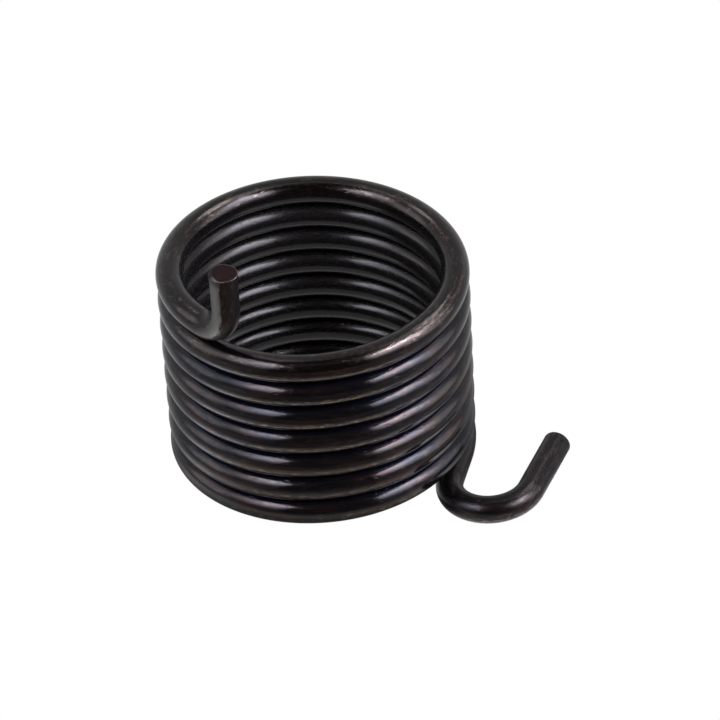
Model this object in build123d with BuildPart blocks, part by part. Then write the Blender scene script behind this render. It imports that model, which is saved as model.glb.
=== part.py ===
from build123d import *
import math
import os

# A close-wound torsion spring bent from one length of round wire. The coil stands
# on +Z, with the underside of its lowest turn at the origin. The wire climbs
# anticlockwise from the hook, which leaves the coil on the +X side, to the tang.
# Lengths are in millimetres, angles in degrees.

# The wire and the coil.
wire_diameter = 3.0
inside_diameter = 27.4
turn_gap = 0.13  # clear air between neighbouring turns
whole_turns = 7
tang_azimuth = 236.0  # where the last part turn ends, anticlockwise from the hook

# The tang: the upper end, turned up off the top turn.
tang_inside_radius = 3.0
tang_bend_angle = 84.0
tang_lean = 2.8  # out from the coil
tang_straight = 4.8

# The hook: the lower end, run straight off the coil and bent back beside it.
hook_lead = 4.1
hook_inside_radius = 3.05
hook_bend_angle = 171.6
hook_rise = 3.0  # slope of the hook's plane, up and away from the coil
hook_leg = 8.3

sheared_edge_radius = 0.2  # on the rim of each cut end

# Everything else follows from those sizes.
wire_radius = wire_diameter / 2
coil_radius = inside_diameter / 2 + wire_radius
pitch = wire_diameter + turn_gap
turns = whole_turns + tang_azimuth / 360
up = Vector(0, 0, 1)
hook_side = Vector(1, 0, 0)
tang_side = hook_side.rotate(Axis.Z, tang_azimuth)


def leaning(direction, towards, angle):
    """A unit direction leant by an angle towards another that is square to it."""
    lean = math.radians(angle)
    return direction * math.cos(lean) + towards * math.sin(lean)


def bend_plane(point, direction, towards):
    """The plane of a bend: the wire runs on along its X and turns into its Y."""
    return Plane(origin=point, x_dir=direction, z_dir=direction.cross(towards))


with BuildLine() as coil:
    Helix(pitch, pitch * turns, coil_radius, center=(0, 0, wire_radius))

# Both ends leave the helix along its own tangent, so the wire has no kink.
hook_plane = bend_plane(coil.line @ 0, -(coil.line % 0), leaning(hook_side, up, hook_rise))
with BuildLine(hook_plane) as hook:
    lead = Line((0, 0), (hook_lead, 0))
    hook_bend = JernArc(lead @ 1, lead % 1, hook_inside_radius + wire_radius, hook_bend_angle)
    leg = Line(hook_bend @ 1, hook_bend @ 1 + (hook_bend % 1) * hook_leg)

tang_plane = bend_plane(coil.line @ 1, coil.line % 1, leaning(up, tang_side, tang_lean))
with BuildLine(tang_plane) as tang:
    tang_bend = JernArc((0, 0), (1, 0), tang_inside_radius + wire_radius, tang_bend_angle)
    post = Line(tang_bend @ 1, tang_bend @ 1 + (tang_bend % 1) * tang_straight)

with BuildPart() as torsion_spring:
    with BuildLine() as centre_line:
        add(hook.line)
        add(coil.line)
        add(tang.line)
    wire_path = centre_line.wire()
    with BuildSketch(Plane(origin=wire_path @ 0, z_dir=wire_path % 0)):
        Circle(wire_radius)
    sweep(path=wire_path)
    cut_ends = torsion_spring.faces().filter_by(GeomType.PLANE)
    fillet(cut_ends.edges(), sheared_edge_radius)
torsion_spring.part.label = "torsion_spring"

os.makedirs("parts", exist_ok=True)
export_step(torsion_spring.part, "parts/torsion_spring.step")
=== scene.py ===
import math
from types import SimpleNamespace

import bpy
import numpy as np
from mathutils import Matrix


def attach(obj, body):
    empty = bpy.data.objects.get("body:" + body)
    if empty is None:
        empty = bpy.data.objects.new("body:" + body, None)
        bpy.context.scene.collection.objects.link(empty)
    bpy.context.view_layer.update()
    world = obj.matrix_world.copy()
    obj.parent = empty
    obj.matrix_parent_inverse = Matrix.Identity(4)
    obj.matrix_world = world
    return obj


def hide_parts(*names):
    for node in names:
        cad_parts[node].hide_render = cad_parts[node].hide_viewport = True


# Looks for a torsion spring of dark oil-tempered wire. The CAD part fixes where the
# wire runs; here the same wire is drawn again with a finer skin, drawing lines, nicks
# and sheared ends, and set on a pale table between two cloths with lamps behind them.
# Lengths are in metres and angles in degrees unless a name or a comment says otherwise.

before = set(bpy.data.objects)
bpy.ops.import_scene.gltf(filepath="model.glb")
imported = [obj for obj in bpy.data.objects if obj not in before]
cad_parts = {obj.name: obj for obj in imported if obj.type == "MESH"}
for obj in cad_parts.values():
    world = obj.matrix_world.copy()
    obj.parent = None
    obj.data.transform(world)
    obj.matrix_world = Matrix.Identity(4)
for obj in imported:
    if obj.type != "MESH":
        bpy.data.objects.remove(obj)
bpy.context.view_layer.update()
MM = 0.001

# The wire and the coil, as in the CAD part.
WIRE_RADIUS = 1.5 * MM
COIL_RADIUS = 15.2 * MM        # to the middle of the wire
PITCH = 3.13 * MM
TANG_AZIMUTH = 236.0
TURNS = 7 + TANG_AZIMUTH / 360

# The tang, turned up off the top turn, and the hook, bent back beside the lowest one.
TANG_BEND_RADIUS = 4.5 * MM    # to the middle of the wire, as is the hook's
TANG_BEND_ANGLE = 84.0
TANG_LEAN = 2.8
TANG_STRAIGHT = 4.8 * MM
HOOK_LEAD = 4.1 * MM
HOOK_BEND_RADIUS = 4.55 * MM
HOOK_BEND_ANGLE = 171.6
HOOK_RISE = 3.0
HOOK_LEG = 8.3 * MM

# Along the wire from the hook's tip: where the hook ends and the last turn starts, and
# where the tang starts and ends.
ONE_TURN = math.hypot(2 * math.pi * COIL_RADIUS, PITCH)
HOOK_TO = HOOK_LEG + math.radians(HOOK_BEND_ANGLE) * HOOK_BEND_RADIUS + HOOK_LEAD
LAST_TURN_FROM = HOOK_TO + (TURNS - 1) * ONE_TURN
TANG_FROM = HOOK_TO + TURNS * ONE_TURN
TANG_TO = TANG_FROM + math.radians(TANG_BEND_ANGLE) * TANG_BEND_RADIUS + TANG_STRAIGHT

# The skin's mesh.
RING_SPACING = 0.55 * MM
RING_POINTS = 52
EDGE_RINGS = 4
FACE_RINGS = 9
SIDE_RINGS = 10

# Angles round the wire: on the coil, 0 faces out, negative is up and positive is down.
# At each cut end: the rim's rounding, the height of the lip that the shears left and the
# side that a notch in it is on, how far they squashed the end and the side that it bulges
# to, and how far they rolled the rim over where they bit first, and that side.
TANG_CUT = {"rounding": 0.08 * MM, "lip": 0.11 * MM, "notch_side": 44.0,
            "squash": 0.09 * MM, "bulge_side": -56.0, "roll": 0.28 * MM, "rolled_side": -32.0}
HOOK_CUT = {"rounding": 0.20 * MM, "lip": 0.04 * MM, "notch_side": 120.0,
            "squash": 0.0, "bulge_side": 30.0, "roll": 0.0, "rolled_side": 0.0}
NOTCH_WIDTH = 13.0
SHEAR_REACH = 1.0 * MM         # how far back from a cut end the shears bent the wire's skin
END_REACH = 1.5 * MM           # how far back from a cut end its own, closer rings go

# Scuffs on the last turn, which also paint highlight lines where the lamps' highlights cross it: where each
# starts and ends along the wire, the angle round the wire that it follows, and how strong it is.
SCUFF_AND_HIGHLIGHT_LINES = ((670 * MM, 704 * MM, -51.0, 0.8), (718 * MM, 744 * MM, -120.0, 0.4))
SCUFF_WIDTH = 6.5
PRESSED_SIDE = 7.0             # the middle of the strip that the bending pin pressed on the tang

# The spring rests on its hook and on the far side of its lowest turn, so the table's
# normal leans a little from the coil's axis.
TABLE_NORMAL = np.array([0.05766, 0.01435, 0.99823])
TABLE_HEIGHT = 0.64 * MM       # along that normal, from the origin

# The camera looks at a point near the coil's middle, from its front and above.
AIM = np.array([6.08, -4.94, 16.87]) * MM
VIEW_AZIMUTH = 16.2
VIEW_ELEVATION = 36.82
VIEW_ROLL = -3.46
VIEW_DISTANCE = 0.4438
LENS = 208.9                   # millimetres, as is the sensor's width
SENSOR_WIDTH = 36.0


def unit(vector):
    return vector / np.linalg.norm(vector)


def leaning(direction, towards, angle):
    """direction, leant by angle towards another direction square to it."""
    lean = math.radians(angle)
    return direction * math.cos(lean) + towards * math.sin(lean)


def square_to(direction, towards):
    """The part of towards that is square to direction, as a unit vector."""
    return unit(towards - direction * (towards @ direction))


def straight(start, heading, length):
    """Points along a straight stretch of wire, its start left out."""
    count = max(2, round(length / RING_SPACING))
    return start + np.outer(np.linspace(0, length, count + 1)[1:], heading)


def bend(start, heading, towards, radius, angle):
    """Points round a bend that turns the wire from heading towards another direction."""
    count = round(math.radians(angle) * radius / RING_SPACING)
    turned = np.radians(np.linspace(0, angle, count + 1)[1:])[:, None]
    return start + radius * (np.sin(turned) * heading + (1 - np.cos(turned)) * towards)


def helix():
    """Points up the coil, from the hook's end to the tang's."""
    turned = np.linspace(0, 2 * math.pi * TURNS, round(TURNS * ONE_TURN / RING_SPACING) + 1)
    height = WIRE_RADIUS + PITCH * turned / (2 * math.pi)
    return np.stack([COIL_RADIUS * np.cos(turned), COIL_RADIUS * np.sin(turned), height], 1)


def coil_heading(azimuth):
    """The wire's direction up the coil at an azimuth."""
    turned = math.radians(azimuth)
    around = np.array([-math.sin(turned), math.cos(turned), 0]) * COIL_RADIUS
    return unit(around + np.array([0, 0, PITCH / (2 * math.pi)]))


def wire_line():
    """The wire's middle line from the hook's tip to the tang's, and the coil's share of it."""
    up = np.array([0.0, 0.0, 1.0])
    coil = helix()

    heading = -coil_heading(0)
    towards = square_to(heading, leaning(np.array([1.0, 0.0, 0.0]), up, HOOK_RISE))
    lead = straight(coil[0], heading, HOOK_LEAD)
    hook = bend(lead[-1], heading, towards, HOOK_BEND_RADIUS, HOOK_BEND_ANGLE)
    leg = straight(hook[-1], leaning(heading, towards, HOOK_BEND_ANGLE), HOOK_LEG)
    before = np.concatenate([lead, hook, leg])[::-1]

    heading = coil_heading(TANG_AZIMUTH)
    outward = np.array([math.cos(math.radians(TANG_AZIMUTH)), math.sin(math.radians(TANG_AZIMUTH)), 0])
    towards = square_to(heading, leaning(up, outward, TANG_LEAN))
    tang = bend(coil[-1], heading, towards, TANG_BEND_RADIUS, TANG_BEND_ANGLE)
    post = straight(tang[-1], leaning(heading, towards, TANG_BEND_ANGLE), TANG_STRAIGHT)
    return np.concatenate([before, coil, tang, post]), (len(before), len(before) + len(coil))


def carried(directions, headings, start, step):
    """Carries a direction square to the wire along it without twist, from start on."""
    last = len(headings) - 1 if step > 0 else 0
    for i in range(start + step, last + step, step):
        directions[i] = square_to(headings[i], directions[i - step])


def wire_frames(points, coil_span):
    """The wire's heading and two directions square to it: on the coil, outward and down."""
    headings = np.gradient(points, axis=0)
    headings /= np.linalg.norm(headings, axis=1)[:, None]
    first, end = coil_span
    outward = points * [1, 1, 0]
    for i in range(first, end):
        outward[i] = square_to(headings[i], outward[i])
    carried(outward, headings, first, -1)
    carried(outward, headings, end - 1, 1)
    return headings, outward, np.cross(headings, outward)


def end_rings(rounding):
    """How far back from a cut end its rings lie and how wide they are: on its face, rim and side."""
    rim = np.radians(np.linspace(0, 90, EDGE_RINGS))
    face = (WIRE_RADIUS - rounding) * np.linspace(0.1, 0.95, FACE_RINGS)
    side = np.linspace(rounding, END_REACH, SIDE_RINGS)[1:]
    from_end = np.concatenate([np.zeros(FACE_RINGS), rounding * (1 - np.cos(rim)), side])
    rim_radius = WIRE_RADIUS - rounding * (1 - np.sin(rim))
    return from_end, np.concatenate([face, rim_radius, side * 0 + WIRE_RADIUS])


def sheared(from_end, radius, angles, cut):
    """How far shears pushed a cut end's skin back along the wire, and how far out from its middle."""
    near_end = np.clip(1 - from_end / SHEAR_REACH, 0, 1)[:, None] ** 2
    share = np.clip(radius / WIRE_RADIUS, 0, 1)[:, None]

    # The lip is ragged and has one notch, and the face inside it is hollow and a little wavy.
    from_notch = np.degrees((angles - math.radians(cut["notch_side"]) + math.pi) % (2 * math.pi) - math.pi)
    notch = 0.8 * np.exp(-(from_notch / NOTCH_WIDTH) ** 2)
    ragged = 0.22 + 0.12 * np.cos(3 * angles + 2) + 0.07 * np.cos(7 * angles)
    sunk = 0.8 - 0.3 * np.sin(2.6 * share * np.cos(angles) + 0.6) * np.cos(2.2 * share * np.sin(angles))
    back = near_end * cut["lip"] * ((ragged + notch) * share ** 3 + sunk * (1 - share ** 5))

    rolled = np.clip(np.cos(angles - math.radians(cut["rolled_side"])), 0, 1) ** 2
    back += near_end * cut["roll"] * rolled * share ** 8
    bulge = np.cos(2 * (angles - math.radians(cut["bulge_side"])))
    out = near_end * cut["squash"] * bulge * share ** 4
    return back[:, :, None], out[:, :, None]


def skin_faces(rings):
    """The faces between that many rings of points, and those that close the two tips."""
    faces = []
    for ring in range(rings - 1):
        for k in range(RING_POINTS):
            a = ring * RING_POINTS + k
            b = ring * RING_POINTS + (k + 1) % RING_POINTS
            faces.append((a, b, b + RING_POINTS, a + RING_POINTS))
    tip = rings * RING_POINTS
    last = tip - RING_POINTS
    for k in range(RING_POINTS):
        after = (k + 1) % RING_POINTS
        faces.append((tip, after, k))
        faces.append((tip + 1, last + k, last + after))
    return faces


def wire_mesh():
    """The skin of the wire, sheared off at both ends."""
    points, coil_span = wire_line()
    headings, outward, downward = wire_frames(points, coil_span)
    along = np.concatenate([[0], np.cumsum(np.linalg.norm(np.diff(points, axis=0), axis=1))])
    length = along[-1]
    hook_along, hook_radius = end_rings(HOOK_CUT["rounding"])
    tang_along, tang_radius = end_rings(TANG_CUT["rounding"])
    end = END_REACH + 0.2 * MM
    between = along[(along > end) & (along < length - end)]
    ring_along = np.concatenate([hook_along, between, length - tang_along[::-1]])
    ring_radius = np.concatenate([hook_radius, between * 0 + WIRE_RADIUS, tang_radius[::-1]])

    def at_rings(values):
        return np.stack([np.interp(ring_along, along, values[:, k]) for k in range(3)], 1)

    middle, ahead = at_rings(points), at_rings(headings)
    out, down = at_rings(outward), at_rings(downward)
    angles = np.linspace(0, 2 * math.pi, RING_POINTS, endpoint=False)
    cosines, sines = np.cos(angles), np.sin(angles)
    sideways = cosines[None, :, None] * out[:, None] + sines[None, :, None] * down[:, None]
    skin = middle[:, None] + ring_radius[:, None, None] * sideways
    back, push = sheared(ring_along, ring_radius, angles, HOOK_CUT)
    skin += back * ahead[:, None] + push * sideways
    back, push = sheared(length - ring_along, ring_radius, angles, TANG_CUT)
    skin += push * sideways - back * ahead[:, None]
    tips = np.stack([skin[0].mean(0), skin[-1].mean(0)])
    vertices = np.concatenate([skin.reshape(-1, 3), tips])

    # Where each point would lie if the wire were straightened: along, outward and down.
    place = np.stack(np.broadcast_arrays(
        ring_along[:, None], ring_radius[:, None] * cosines, ring_radius[:, None] * sines), 2)
    places = np.concatenate([place.reshape(-1, 3), [[0, 0, 0], [length, 0, 0]]])

    mesh = bpy.data.meshes.new("oil_tempered_wire")
    mesh.from_pydata(vertices.tolist(), [], skin_faces(len(ring_along)))
    mesh.shade_smooth()
    straightened = mesh.attributes.new("straightened", "FLOAT_VECTOR", "POINT")
    straightened.data.foreach_set("vector", (places / MM).astype(np.float32).ravel())
    return mesh


class Field:
    """A value, colour or shader on its way through a finish, so that shader maths reads as maths."""

    def __init__(self, finish, socket):
        self.finish, self.socket = finish, socket

    def maths(self, operation, *values):
        return self.finish.node("ShaderNodeMath", {"operation": operation}, dict(enumerate(values)))

    def __add__(self, other):
        return self.maths("ADD", self, other)

    def __sub__(self, other):
        return self.maths("SUBTRACT", self, other)

    def __rsub__(self, other):
        return self.maths("SUBTRACT", other, self)

    def __mul__(self, other):
        return self.maths("MULTIPLY", self, other)

    def __truediv__(self, other):
        return self.maths("DIVIDE", self, other)

    def squared(self):
        return self.maths("MULTIPLY", self, self)

    def size(self):
        return self.maths("ABSOLUTE", self)

    def root(self):
        return self.maths("SQRT", self)

    def larger(self, other):
        return self.maths("MAXIMUM", self, other)

    __radd__, __rmul__ = __add__, __mul__


class Finish:
    """A material and the nodes that make it."""

    def __init__(self, name):
        self.material = bpy.data.materials.new(name)
        self.material.use_nodes = True
        self.tree = self.material.node_tree
        self.tree.nodes.clear()

    def node(self, kind, settings=None, inputs=None, output=0):
        """Adds a node, sets it up, feeds its sockets and returns one of its outputs."""
        made = self.tree.nodes.new(kind)
        for name, value in (settings or {}).items():
            setattr(made, name, value)
        for name, value in (inputs or {}).items():
            if isinstance(value, Field):
                self.tree.links.new(value.socket, made.inputs[name])
            else:
                made.inputs[name].default_value = value
        return Field(self, made.outputs[output])

    def grain(self, place, along, across, detail, shift=0.0):
        """Noise whose grains are so many millimetres along the wire and across it, from 0 to 1."""
        stretched = self.node("ShaderNodeVectorMath", {"operation": "MULTIPLY_ADD"}, {
            0: place, 1: (1 / along, 1 / across, 1 / across), 2: (shift, shift, shift)})
        return self.node("ShaderNodeTexNoise", inputs={"Vector": stretched, "Scale": 1.0, "Detail": detail})

    def ramp(self, value, low, high):
        """0 where value is below low, 1 where it is above high, and smooth between them.

        Where low is the larger, it is the other way about.
        """
        return self.node("ShaderNodeMapRange", {"interpolation_type": "SMOOTHSTEP"}, {
            "Value": value, "From Min": low, "From Max": high})

    def blend(self, amount, first, second):
        """A colour that goes from first to second as amount goes from 0 to 1."""
        return self.node("ShaderNodeMix", {"data_type": "RGBA"}, {0: amount, 6: first, 7: second}, output=2)

    def glow(self, colour, strength):
        """A shader that shines evenly."""
        return self.node("ShaderNodeEmission", inputs={"Color": (*colour, 1), "Strength": strength})

    def mixed(self, amount, first, second):
        """A shader that goes from first to second as amount goes from 0 to 1."""
        return self.node("ShaderNodeMixShader", inputs={0: amount, 1: first, 2: second})

    def finished(self, shader):
        """The material, with its surface made by shader."""
        surface = self.tree.nodes.new("ShaderNodeOutputMaterial").inputs["Surface"]
        self.tree.links.new(shader.socket, surface)
        return self.material


# The wire's finish. Its distances are in millimetres, on the straightened wire.
# Each skin's colour, dark enough that it mirrors more than it scatters.
BLUE_OXIDE = (0.013, 0.014, 0.018, 1)
BROWN_OXIDE = (0.033, 0.024, 0.0215, 1)
RED_OXIDE = (0.036, 0.019, 0.018, 1)
# Painted shade: a navy tint for the crevices where the turns meet.
NAVY_CREVICE_SHADE = (0.012, 0.018, 0.06, 1)
INNER_OXIDE = (0.024, 0.022, 0.021, 1)
SATIN_OXIDE = (0.034, 0.030, 0.028, 1)
SCORCHED = (0.021, 0.014, 0.0145, 1)
CUT_FACE = (0.021, 0.0115, 0.0115, 1)

# Bare metal shows paler.
FLECK = (0.18, 0.137, 0.118, 1)
PRESSED = (0.17, 0.168, 0.148, 1)
CUT_EDGE = (0.17, 0.125, 0.115, 1)


def towards_side(outward, downward, side):
    """How far a point of the skin lies towards an angle round the wire, in millimetres."""
    return outward * math.cos(math.radians(side)) + downward * math.sin(math.radians(side))


def scuff_and_highlight_paint(finish, along, outward, downward):
    """Where the last turn is scuffed, from 0 to 1: pale metal that also paints highlight lines along it."""
    reach = WIRE_RADIUS / MM
    low = reach * math.cos(math.radians(SCUFF_WIDTH * 1.6))
    high = reach * math.cos(math.radians(SCUFF_WIDTH * 0.6))
    scuff_and_highlight_sum = 0
    for start, end, side, strength in SCUFF_AND_HIGHLIGHT_LINES:
        line = finish.ramp(towards_side(outward, downward, side), low, high)
        tapered = (end - start) / MM * 0.3
        started = finish.ramp(along, start / MM, start / MM + tapered)
        scuff_and_highlight_sum += line * started * finish.ramp(along, end / MM, end / MM - tapered) * strength
    return scuff_and_highlight_sum


def marks(finish, place):
    """What making and use did to the wire's skin, each from 0, where they did nothing, to 1."""
    ramp = finish.ramp
    along, outward, downward = (finish.node("ShaderNodeSeparateXYZ", inputs={0: place}, output=k)
                                for k in range(3))
    radius = (outward.squared() + downward.squared()).root()
    skin = WIRE_RADIUS / MM
    tang = ramp(along, TANG_FROM / MM - 1, TANG_FROM / MM + 4)
    hook = ramp(along, HOOK_TO / MM + 8, HOOK_TO / MM - 6)

    # The last turn's upper side and the hook were gripped and rubbed, so they are satin.
    last_turn = ramp(along, LAST_TURN_FROM / MM - 30, LAST_TURN_FROM / MM + 20) * ramp(downward, 0.2, -0.8)
    rubbed = (last_turn * (1 - tang)).larger(hook * 0.45)

    # The coil's inside was hardly touched. Along the top of each turn, where it meets the turn above, a navy
    # tint is painted shade for the crevice between them.
    inside = ramp(outward, 0.1, -0.8) * (1 - tang) * (1 - rubbed) * (1 - hook)
    crevice_shade = ramp(downward, -1.2, -1.42) * (1 - inside) * (1 - last_turn) * (1 - tang) * (1 - hook)

    # The bending pin pressed a strip of the tang bright, less on its upper half and at the
    # tip. The rest of the tang was scorched dull.
    facing_pin = (towards_side(outward, downward, PRESSED_SIDE) / radius
                  + finish.grain(place, 1.0, 0.35, 3.0) * 0.3)
    pressed = tang * ramp(facing_pin, 0.993, 1.093) * (0.4 + ramp(downward, -0.4, 0.3) * 0.6)
    pressed = pressed * (0.4 + ramp(along, TANG_TO / MM - 0.4, TANG_TO / MM - 1.4) * 0.6)

    # The cut ends' faces, and the bright edge round each, which a rolled rim hides.
    rolled = tang * ramp(towards_side(outward, downward, TANG_CUT["rolled_side"]), 0.7, 1.1)
    cut = ramp(radius + rolled * 0.3, skin - 0.04, skin - 0.12)
    edge = ramp(radius, skin - 0.001, skin - 0.03) * ramp(radius, skin - 0.14, skin - 0.07) * (1 - rolled)

    return SimpleNamespace(
        hook=hook, rubbed=rubbed, inside=inside, crevice_shade=crevice_shade, underside=ramp(downward, -0.1, 0.5),
        scuff_and_highlight_paint=scuff_and_highlight_paint(finish, along, outward, downward), pressed=pressed, scorched=tang * (1 - pressed),
        cut=cut, edge=edge)


def wire_colour(finish, place, mark):
    """Mottled brown and blue-black oxide, with pale flecks and what each mark adds."""
    ramp, blend, grain = finish.ramp, finish.blend, finish.grain
    mottle = ramp(grain(place, 2.2, 0.45, 4.0) * 0.6 + grain(place, 9.0, 2.0, 1.0) * 0.4, 0.40, 0.60)
    rusty = ramp(grain(place, 5.0, 1.0, 2.0, 53.0), 0.50, 0.62)
    blotch = ramp(grain(place, 1.6, 0.6, 3.0, 11.0), 0.42, 0.66)
    speckle = ramp(grain(place, 0.7, 0.2, 2.0, 23.0), 0.50, 0.62)

    colour = blend(mottle, BLUE_OXIDE, blend(rusty, BROWN_OXIDE, RED_OXIDE))
    # Painted shade: navy along the crevices between turns.
    colour = blend(mark.crevice_shade * 0.7, colour, NAVY_CREVICE_SHADE)
    colour = blend(mark.inside * 0.8, colour, INNER_OXIDE)
    colour = blend(mark.rubbed * 0.6, colour, SATIN_OXIDE)

    # Flecks lie in blotches, and thickest on the wire's underside and where it is rubbed.
    flecked = blotch * (0.12 + mark.rubbed * 0.35) + mark.underside * (blotch * 0.5 + 0.45)
    flecked = speckle * flecked * (1 - mark.inside - mark.scorched * 0.6)
    # The scuffs' pale metal is worn metal and painted highlight lines both.
    colour = blend(flecked.larger(mark.scuff_and_highlight_paint * (speckle * 0.6 + 0.4)), colour, FLECK)
    colour = blend(mark.scorched * 0.7, colour, SCORCHED)
    colour = blend(mark.pressed, colour, PRESSED)
    colour = blend(mark.cut, colour, CUT_FACE)
    return blend(mark.edge * (0.4 + blotch * 0.6), colour, CUT_EDGE)


def wire_relief(finish, place, mark):
    """Drawing lines, long grooves, dimples, pits and nicks, with their depths in millimetres."""
    lines = finish.grain(place, 12.0, 0.07, 1.0, 5.0) * (0.0012 - mark.inside * 0.0006)
    grooves = finish.grain(place, 20.0, 0.3, 1.0, 7.0) * 0.008
    dimples = finish.grain(place, 1.4, 0.8, 2.0, 3.0) * 0.02
    pit_depth = 0.005 - mark.inside * 0.005 + (mark.rubbed + mark.scorched * 2) * 0.004 + mark.cut * 0.03
    pits = finish.grain(place, 0.32, 0.22, 2.0, 29.0) * pit_depth
    nicks = finish.ramp(finish.grain(place, 0.8, 0.35, 1.0, 61.0), 0.64, 0.74) * 0.012
    return finish.node("ShaderNodeBump", inputs={
        "Strength": 1.0, "Distance": MM, "Height": lines + grooves + dimples + pits - nicks})


def wire_finish():
    """A thin brown and blue-black oxide under oil, on wire that was drawn lengthwise."""
    finish = Finish("oil_tempered_steel")
    place = finish.node("ShaderNodeAttribute", {"attribute_name": "straightened"}, output=1)
    mark = marks(finish, place)
    worn = finish.ramp(finish.grain(place, 0.9, 0.2, 3.0, 41.0), 0.54, 0.70)
    roughness = (0.13 + mark.inside * 0.13 + worn * 0.1 + mark.rubbed * 0.04 + mark.hook * 0.14
                 + mark.pressed * 0.2 + mark.scorched * 0.36 + mark.cut * 0.25)
    oil = 1 - mark.rubbed * 0.3 - mark.inside * 0.15 - mark.hook * 0.5 - mark.scorched * 0.8 - mark.cut * 0.3
    shader = finish.node("ShaderNodeBsdfPrincipled", inputs={
        "Base Color": wire_colour(finish, place, mark),
        "Metallic": 0.84 + mark.rubbed * 0.14 - mark.inside * 0.1,
        "Roughness": roughness,
        "IOR": 1.33,
        "Normal": wire_relief(finish, place, mark),
        "Coat Weight": oil * (1 - worn * 0.4),
        "Coat Roughness": 0.10,
        "Coat IOR": 1.26})
    return finish.finished(shader)


def spring():
    """The spring, one piece of wire."""
    piece = bpy.data.objects.new("oil_tempered_wire", wire_mesh())
    bpy.context.scene.collection.objects.link(piece)
    piece.data.materials.append(wire_finish())
    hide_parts("torsion_spring")
    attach(piece, "root")


# The stage's own directions: up from the table, towards the camera along it, and to the
# camera's right.
azimuth = math.radians(VIEW_AZIMUTH)
elevation = math.radians(VIEW_ELEVATION)
to_camera = np.array([math.sin(azimuth) * math.cos(elevation),
                      -math.cos(azimuth) * math.cos(elevation), math.sin(elevation)])
table_up = unit(TABLE_NORMAL)
table_front = square_to(table_up, to_camera)
table_right = np.cross(table_up, table_front)

# The white table and its backdrops, which only the camera sees.
BACKDROP = 3.0                 # how high the backdrops are, and how far from the spring
TABLE_SIZE = BACKDROP * 2

# The tent round the table, which only the wire mirrors. Its front is open, behind the
# camera, and the lamps stand behind its side cloths.
TENT_HALF_WIDTH = 0.5
TENT_REAR = 0.5                # behind the spring
TENT_HEIGHT = 1.0
CEILING_FRONT = -0.02
LEFT_OPENING = 32.7            # how far round from the front the opening goes, to the left
RIGHT_OPENING = 36.5           # and to the right

# Each lamp: how bright it is, the height where it is brightest and its top, and, in front
# of the spring, where it has come up to its full strength and where it has faded out.
LEFT_LAMP = {"strength": 9.2, "brightest": 0.66, "top": 0.80, "comes_up": 0.45, "fades_out": 1.35}
RIGHT_LAMP = {"strength": 11.6, "brightest": 0.60, "top": 0.83, "comes_up": 0.13, "fades_out": 1.05}
LAMP_FOOT = -0.01              # where each lamp starts, just below the table
LAMP_EDGE = 0.02               # how softly each lamp ends above its top
LAMP_SLOPE = 0.32              # how much higher the lamps are for each metre nearer the front
REAR_LIGHT_DISTANCE = 0.45

COOL = (0.98, 1.0, 1.15)
WHITE = (1.0, 1.0, 1.04)
WARM = (1.06, 1.0, 0.86)
DIM = (1.25, 1.0, 0.95)
DARK_FRONT = (0.056, 0.045, 0.045, 1)    # the dark room beyond the tent's open front


def plate(name, middle, across, along, width, length):
    """A flat rectangle from its middle and the directions of its width and length."""
    corners = [middle + across * width / 2 * i + along * length / 2 * j
               for i, j in ((-1, -1), (1, -1), (1, 1), (-1, 1))]
    mesh = bpy.data.meshes.new(name)
    mesh.from_pydata([corner.tolist() for corner in corners], [], [(0, 1, 2, 3)])
    piece = bpy.data.objects.new(name, mesh)
    bpy.context.scene.collection.objects.link(piece)
    return piece


def only_mirrored(piece):
    """The camera looks through this plate, and the wire mirrors it."""
    piece.visible_camera = False


def only_seen(piece):
    """The camera sees this plate, and the wire mirrors nothing of it."""
    piece.visible_glossy = piece.visible_diffuse = False


def position_along(finish, direction):
    """How far a point of the stage lies along a direction, from the coil's foot."""
    inputs = {0: finish.node("ShaderNodeNewGeometry"), 1: direction}
    return finish.node("ShaderNodeVectorMath", {"operation": "DOT_PRODUCT"}, inputs, output=1)


def table():
    """A plain white table and its backdrops."""
    finish = Finish("white_table")
    white = finish.finished(finish.glow((1, 1, 1), 1.0))
    foot = table_up * TABLE_HEIGHT
    seen = [plate("table", foot, table_right, table_front, TABLE_SIZE, TABLE_SIZE)]
    for side, direction, across in (("left", -table_right, table_front), ("right", table_right, table_front),
                                    ("rear", -table_front, table_right), ("front", table_front, table_right)):
        middle = foot + direction * BACKDROP + table_up * BACKDROP / 2
        seen.append(plate("backdrop_" + side, middle, across, table_up, TABLE_SIZE, BACKDROP))
    for piece in seen:
        piece.data.materials.append(white)
        only_seen(piece)


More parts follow.
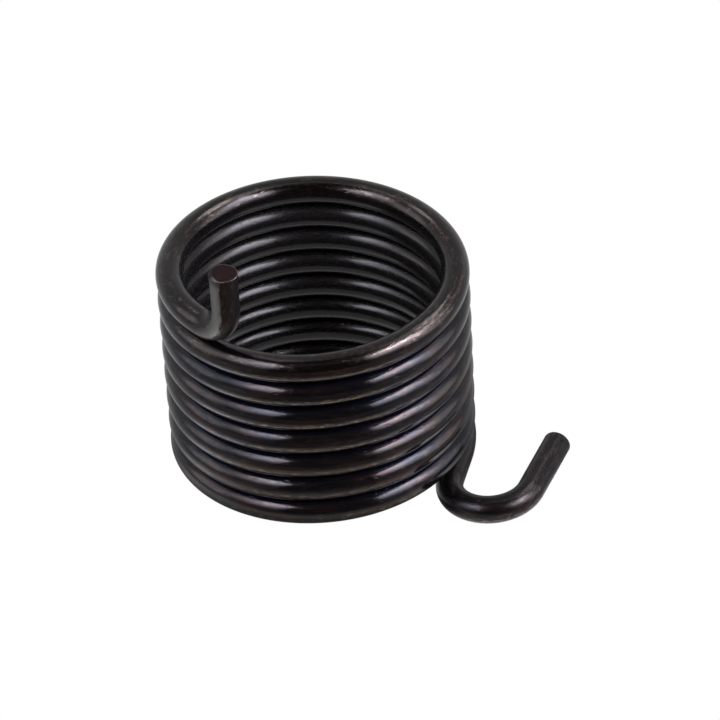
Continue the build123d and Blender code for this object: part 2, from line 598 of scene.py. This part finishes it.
def table_light():
    """The table's light, as the wire mirrors it: a warm patch in front, brighter ones at its sides."""
    finish = Finish("table_light")
    ramp, glow, mixed = finish.ramp, finish.glow, finish.mixed
    front = position_along(finish, table_front)
    side = position_along(finish, table_right)
    away = (front.squared() + side.squared()).root()
    facing = front / away
    near = ramp(away, 42 * MM, 20 * MM)
    right = ramp(side, -10 * MM, 10 * MM)
    in_front = mixed(near, glow(DIM, 0.17), glow(WARM, 0.85))
    beside = mixed(near, glow(WHITE, 0.45), mixed(right, glow(WHITE, 1.2), glow(WHITE, 0.95)))
    behind = mixed(near, glow(WHITE, 0.45), mixed(right, glow(WHITE, 0.35), glow(WHITE, 0.12)))
    open_table = mixed(ramp(facing, 0.6, 0.9), mixed(ramp(facing, 0.5, 0.05), beside, behind), in_front)

    # Under the coil's wire, and just round it, hardly any light reaches the table.
    inside = COIL_RADIUS - WIRE_RADIUS
    outside = COIL_RADIUS + WIRE_RADIUS
    in_coil = mixed(ramp(away, 4 * MM, inside - 0.2 * MM), glow(WHITE, 0.46), glow(WHITE, 0.64))
    round_coil = mixed(ramp(away, outside - 0.2 * MM, outside + 4.8 * MM), glow(WHITE, 0.1), open_table)
    shader = mixed(ramp(away, inside, inside + 0.1 * MM), in_coil, round_coil)
    light = plate("table_light", table_up * TABLE_HEIGHT, table_right, table_front, TABLE_SIZE, TABLE_SIZE)
    light.data.materials.append(finish.finished(shader))
    only_mirrored(light)


def seen_from_spring(side_angle, height_angle, distance):
    """A point at an angle to the right of the front and an angle above the table."""
    level = leaning(table_front, table_right, side_angle)
    return leaning(level, table_up, height_angle) * distance


def rear_light(name, side_angle, height_angle, width, height, strength):
    """A flat soft light behind the spring that faces it, fading towards its upper and lower edges."""
    finish = Finish(name)
    middle = seen_from_spring(side_angle, height_angle, REAR_LIGHT_DISTANCE)
    across = unit(np.cross(table_up, middle))
    upright = unit(np.cross(middle, across))
    offset = position_along(finish, upright) - float(middle @ upright)
    fade = finish.ramp(offset.size(), height * 0.2, height * 0.5)
    shader = finish.mixed(fade, finish.glow(WHITE, strength), finish.glow(WHITE, strength * 0.12))
    panel = plate(name, middle, across, upright, width, height)
    panel.data.materials.append(finish.finished(shader))
    only_mirrored(panel)


def side_cloth(name, side, opening, lamp, beside_top, beside_strength):
    """A white cloth, side -1 on the left or 1 on the right, lit beside the spring and by its lamp."""
    finish = Finish(name)
    ramp, glow, mixed = finish.ramp, finish.glow, finish.mixed
    front = position_along(finish, table_front)
    height = position_along(finish, table_up)
    cloth = mixed(ramp(front, -0.05, 0.2), glow(WHITE, 0.5), glow(WHITE, 0.25))
    beside = (ramp(front, -0.22, -0.06) * ramp(front, 0.24, 0.04)
              * ramp(height, -0.05, 0.12) * ramp(height, beside_top, beside_top * 0.4))
    cloth = mixed(beside, cloth, glow(WHITE, beside_strength))
    up_lamp = height - front * LAMP_SLOPE
    lit = (ramp(up_lamp, LAMP_FOOT, lamp["brightest"]) * ramp(up_lamp, lamp["top"] + LAMP_EDGE, lamp["top"])
           * ramp(front, -0.04, lamp["comes_up"]) * ramp(front, lamp["fades_out"], 0.2))
    shader = mixed(lit, cloth, glow(COOL, lamp["strength"]))

    front_end = TENT_HALF_WIDTH / math.tan(math.radians(opening))
    middle = (table_right * side * TENT_HALF_WIDTH + table_front * (front_end - TENT_REAR) / 2
              + table_up * TENT_HEIGHT / 2)
    panel = plate(name, middle, table_front, table_up, front_end + TENT_REAR, TENT_HEIGHT)
    panel.data.materials.append(finish.finished(shader))
    only_mirrored(panel)


def rear_cloth():
    """The evenly lit cloth behind the spring."""
    finish = Finish("rear_cloth")
    panel = plate("rear_cloth", table_up * TENT_HEIGHT / 2 - table_front * TENT_REAR,
                  table_right, table_up, TENT_HALF_WIDTH * 2, TENT_HEIGHT)
    panel.data.materials.append(finish.finished(finish.glow(WHITE, 0.5)))
    only_mirrored(panel)


def ceiling():
    """The cloth over the table behind the spring, brighter towards its sides."""
    finish = Finish("ceiling")
    side = position_along(finish, table_right)
    left_lit = finish.mixed(finish.ramp(side, -0.1, -0.4), finish.glow(WHITE, 0.45), finish.glow(WHITE, 1.3))
    shader = finish.mixed(finish.ramp(side, 0.1, 0.4), left_lit, finish.glow(WHITE, 2.2))
    panel = plate("ceiling", table_up * TENT_HEIGHT + table_front * (CEILING_FRONT - TENT_REAR) / 2,
                  table_right, table_front, TENT_HALF_WIDTH * 2, CEILING_FRONT + TENT_REAR)
    panel.data.materials.append(finish.finished(shader))
    only_mirrored(panel)


def stage():
    """The table, the tent and its lights."""
    table()
    table_light()
    side_cloth("left_cloth", -1, LEFT_OPENING, LEFT_LAMP, beside_top=0.5, beside_strength=2.0)
    side_cloth("right_cloth", 1, RIGHT_OPENING, RIGHT_LAMP, beside_top=0.9, beside_strength=2.2)
    rear_cloth()
    ceiling()
    rear_light("left_rear_light", side_angle=-132, height_angle=50, width=0.16, height=0.085, strength=4.2)
    rear_light("right_rear_light", side_angle=131, height_angle=57, width=0.20, height=0.14, strength=4.5)
    world = bpy.data.worlds.new("studio")
    world.use_nodes = True
    world.node_tree.nodes["Background"].inputs["Color"].default_value = DARK_FRONT
    bpy.context.scene.world = world
    bpy.context.scene.view_settings.view_transform = "Standard"


def camera():
    """A camera far off with a long lens, rolled a little."""
    data = bpy.data.cameras.new("camera")
    data.sensor_width = SENSOR_WIDTH
    data.lens = LENS
    eye = bpy.data.objects.new("camera", data)
    bpy.context.scene.collection.objects.link(eye)
    right = np.array([math.cos(azimuth), math.sin(azimuth), 0])
    up = np.cross(to_camera, right)
    matrix = np.eye(4)
    matrix[:3, 0] = leaning(right, up, VIEW_ROLL)
    matrix[:3, 1] = leaning(up, -right, VIEW_ROLL)
    matrix[:3, 2] = to_camera
    matrix[:3, 3] = AIM + to_camera * VIEW_DISTANCE
    eye.matrix_world = Matrix(matrix.tolist())
    bpy.context.scene.camera = eye


spring()
stage()
camera()
